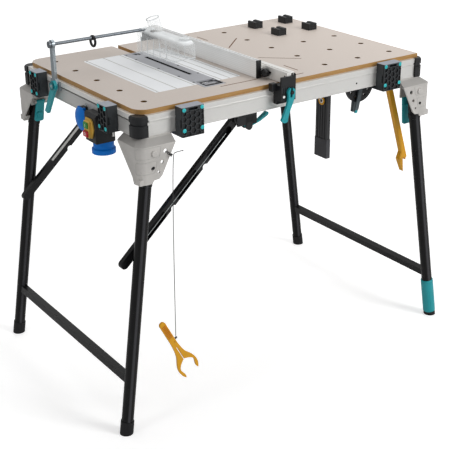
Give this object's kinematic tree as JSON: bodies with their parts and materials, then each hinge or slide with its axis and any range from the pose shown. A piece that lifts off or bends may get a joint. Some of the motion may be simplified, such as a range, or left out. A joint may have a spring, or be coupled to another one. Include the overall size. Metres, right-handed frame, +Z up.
{
  "type": "folding machine table",
  "caption": "Folding machine table on splayed legs, with a saw insert, rip fence, blade guard, switch box and accessories stored on its frame.",
  "frame": {"origin": "on the floor under the middle of the table", "axes": "+X along the table to the right, +Y from front to back, +Z up"},
  "size_m": [1.1524, 0.7126, 0.9839],
  "materials": {
    "board": "satin",
    "aluminium": "satin",
    "steel": "satin",
    "cast_metal": "satin",
    "black_metal": "satin",
    "black_plastic": "matte",
    "teal_plastic": "satin",
    "blue_plastic": "gloss",
    "ochre_plastic": "satin",
    "yellow_plastic": "gloss",
    "green_plastic": "gloss",
    "red_plastic": "gloss",
    "clear_plastic": "gloss",
    "rubber": "matte",
    "cord": "matte"
  },
  "bodies": {
    "table": {"table_board": "board", "insert_plates": "aluminium", "saw_strip": "steel", "insert_bearers": "aluminium", "back_rail": "aluminium", "front_rail": "aluminium", "right_rail": "aluminium", "left_rail": "aluminium", "corner_connectors": "black_plastic", "leg_bracket_back_right": "cast_metal", "leg_bracket_front_right": "cast_metal", "leg_bracket_back_left": "cast_metal", "leg_bracket_front_left": "cast_metal", "leg_pivot_bolts": "steel", "accessory_blocks": "black_plastic", "switch_box": "black_plastic", "switch_plate": "yellow_plastic", "power_inlet": "blue_plastic", "mitre_bar": "black_metal", "protractor": "black_plastic", "push_stick": "ochre_plastic", "guard_upright": "aluminium", "guard_arm": "aluminium", "bench_dogs": "black_plastic", "cord": "cord", "cord_knots": "cord", "fork": "ochre_plastic"},
    "left_legs": {"leg_front_left": "black_metal", "leg_back_left": "black_metal", "left_cross_bar": "black_metal", "left_foot_caps": "rubber"},
    "right_legs": {"leg_front_right": "black_metal", "leg_back_right": "black_metal", "right_cross_bar": "black_metal", "right_foot_cap": "rubber"},
    "adjustable_foot": {"levelling_foot": "teal_plastic", "levelling_pad": "rubber"},
    "sliders": {"brace_sliders": "black_plastic"},
    "braces": {"brace_front": "black_metal", "brace_back": "black_metal"},
    "slider_lever_front": {"slider_lever_front": "teal_plastic"},
    "slider_lever_back": {"slider_lever_back": "teal_plastic"},
    "lock_lever_back_right": {"lock_lever_back_right": "teal_plastic"},
    "lock_lever_front_right": {"lock_lever_front_right": "teal_plastic"},
    "lock_lever_back_left": {"lock_lever_back_left": "teal_plastic"},
    "lock_lever_front_left": {"lock_lever_front_left": "teal_plastic"},
    "fence": {"fence_beam": "aluminium", "fence_clamp_front": "black_plastic", "fence_clamp_back": "black_plastic"},
    "fence_face": {"fence_face": "aluminium"},
    "fence_knob": {"fence_knob": "black_plastic"},
    "clamp_lever_front": {"clamp_lever_front": "teal_plastic"},
    "clamp_lever_back": {"clamp_lever_back": "teal_plastic"},
    "guard_lever": {"guard_lever": "teal_plastic"},
    "guard_hood": {"guard_hood": "clear_plastic"},
    "cable_ring": {"cable_ring": "black_plastic"},
    "green_button": {"green_button": "green_plastic"},
    "red_button": {"red_button": "red_plastic"},
    "socket_lid": {"socket_lid": "blue_plastic"},
    "protractor_lever": {"protractor_lever": "black_metal"}
  },
  "joints": [
    {"name": "left_legs_fold", "type": "hinge", "parent": "table", "child": "left_legs", "pos_m": [-0.442, 0, 0.755], "axis": [0, -1, 0], "range_deg": [0, 71]},
    {"name": "right_legs_fold", "type": "hinge", "parent": "table", "child": "right_legs", "pos_m": [0.442, 0, 0.755], "axis": [0, 1, 0], "range_deg": [0, 97]},
    {"name": "foot_height", "type": "slide", "parent": "right_legs", "child": "adjustable_foot", "axis": [0.1518, -0.0327, -0.9879], "range_m": [0, 0.02]},
    {"name": "sliders_run", "type": "slide", "parent": "table", "child": "sliders", "axis": [1, 0, 0], "range_m": [0, 0.3679]},
    {"name": "braces_turn", "type": "hinge", "parent": "sliders", "child": "braces", "pos_m": [-0.16538, 0, 0.777], "axis": [0, 1, 0], "range_deg": [-0.5, 22.52]},
    {"name": "slider_lever_front_turn", "type": "hinge", "parent": "sliders", "child": "slider_lever_front", "pos_m": [-0.12838, -0.286, 0.75125], "axis": [0, 1, 0], "range_deg": [0, 60]},
    {"name": "slider_lever_back_turn", "type": "hinge", "parent": "sliders", "child": "slider_lever_back", "pos_m": [-0.12838, 0.286, 0.75125], "axis": [0, 1, 0], "range_deg": [0, 60]},
    {"name": "lock_lever_back_right_turn", "type": "hinge", "parent": "table", "child": "lock_lever_back_right", "pos_m": [0.4446, 0.281, 0.738], "axis": [-1, 0, 0], "range_deg": [0, 12], "stiffness_Nm_per_rad": 1.5},
    {"name": "lock_lever_front_right_turn", "type": "hinge", "parent": "table", "child": "lock_lever_front_right", "pos_m": [0.4446, -0.281, 0.738], "axis": [1, 0, 0], "range_deg": [0, 12], "stiffness_Nm_per_rad": 1.5},
    {"name": "lock_lever_back_left_turn", "type": "hinge", "parent": "table", "child": "lock_lever_back_left", "pos_m": [-0.4446, 0.281, 0.738], "axis": [-1, 0, 0], "range_deg": [0, 12], "stiffness_Nm_per_rad": 1.5},
    {"name": "lock_lever_front_left_turn", "type": "hinge", "parent": "table", "child": "lock_lever_front_left", "pos_m": [-0.4446, -0.281, 0.738], "axis": [1, 0, 0], "range_deg": [0, 12], "stiffness_Nm_per_rad": 1.5},
    {"name": "fence_slide", "type": "slide", "parent": "table", "child": "fence", "axis": [1, 0, 0], "range_m": [-0.06, 0.2]},
    {"name": "fence_face_slide", "type": "slide", "parent": "fence", "child": "fence_face", "axis": [0, 1, 0], "range_m": [0, 0.08]},
    {"name": "fence_knob_turn", "type": "hinge", "parent": "fence", "child": "fence_knob", "pos_m": [-0.05, -0.259, 0.872], "axis": [1, 0, 0], "continuous": true},
    {"name": "clamp_lever_front_turn", "type": "hinge", "parent": "fence", "child": "clamp_lever_front", "pos_m": [-0.033, -0.349, 0.838], "axis": [0, 1, 0], "range_deg": [-45, 75]},
    {"name": "clamp_lever_back_turn", "type": "hinge", "parent": "fence", "child": "clamp_lever_back", "pos_m": [-0.033, 0.349, 0.838], "axis": [0, 1, 0], "range_deg": [-45, 75]},
    {"name": "guard_lever_turn", "type": "hinge", "parent": "table", "child": "guard_lever", "pos_m": [-0.4853, 0.0954, 0.832], "axis": [-1, 0, 0], "range_deg": [0, 90]},
    {"name": "guard_hood_lift", "type": "hinge", "parent": "table", "child": "guard_hood", "pos_m": [-0.2, 0.105, 0.941], "axis": [-1, 0, 0], "range_deg": [0, 45]},
    {"name": "cable_ring_slide", "type": "slide", "parent": "table", "child": "cable_ring", "axis": [1, 0, 0], "range_m": [-0.08, 0.08]},
    {"name": "green_button_press", "type": "slide", "parent": "table", "child": "green_button", "axis": [1, 0, 0], "range_m": [0, 0.003], "stiffness_N_per_m": 400},
    {"name": "red_button_press", "type": "slide", "parent": "table", "child": "red_button", "axis": [1, 0, 0], "range_m": [0, 0.003], "stiffness_N_per_m": 400},
    {"name": "socket_lid_turn", "type": "hinge", "parent": "table", "child": "socket_lid", "pos_m": [-0.4818, -0.054, 0.8068], "axis": [0, 1, 0], "range_deg": [0, 95]},
    {"name": "protractor_lever_turn", "type": "hinge", "parent": "table", "child": "protractor_lever", "pos_m": [0.287, -0.255, 0.782], "axis": [0, 1, 0], "range_deg": [-20, 40]}
  ],
  "couplings": [
    {"joint": "sliders_run", "follows": "left_legs_fold", "m_per_rad": 0.29608},
    {"joint": "braces_turn", "follows": "left_legs_fold", "ratio": 0.31294}
  ]
}
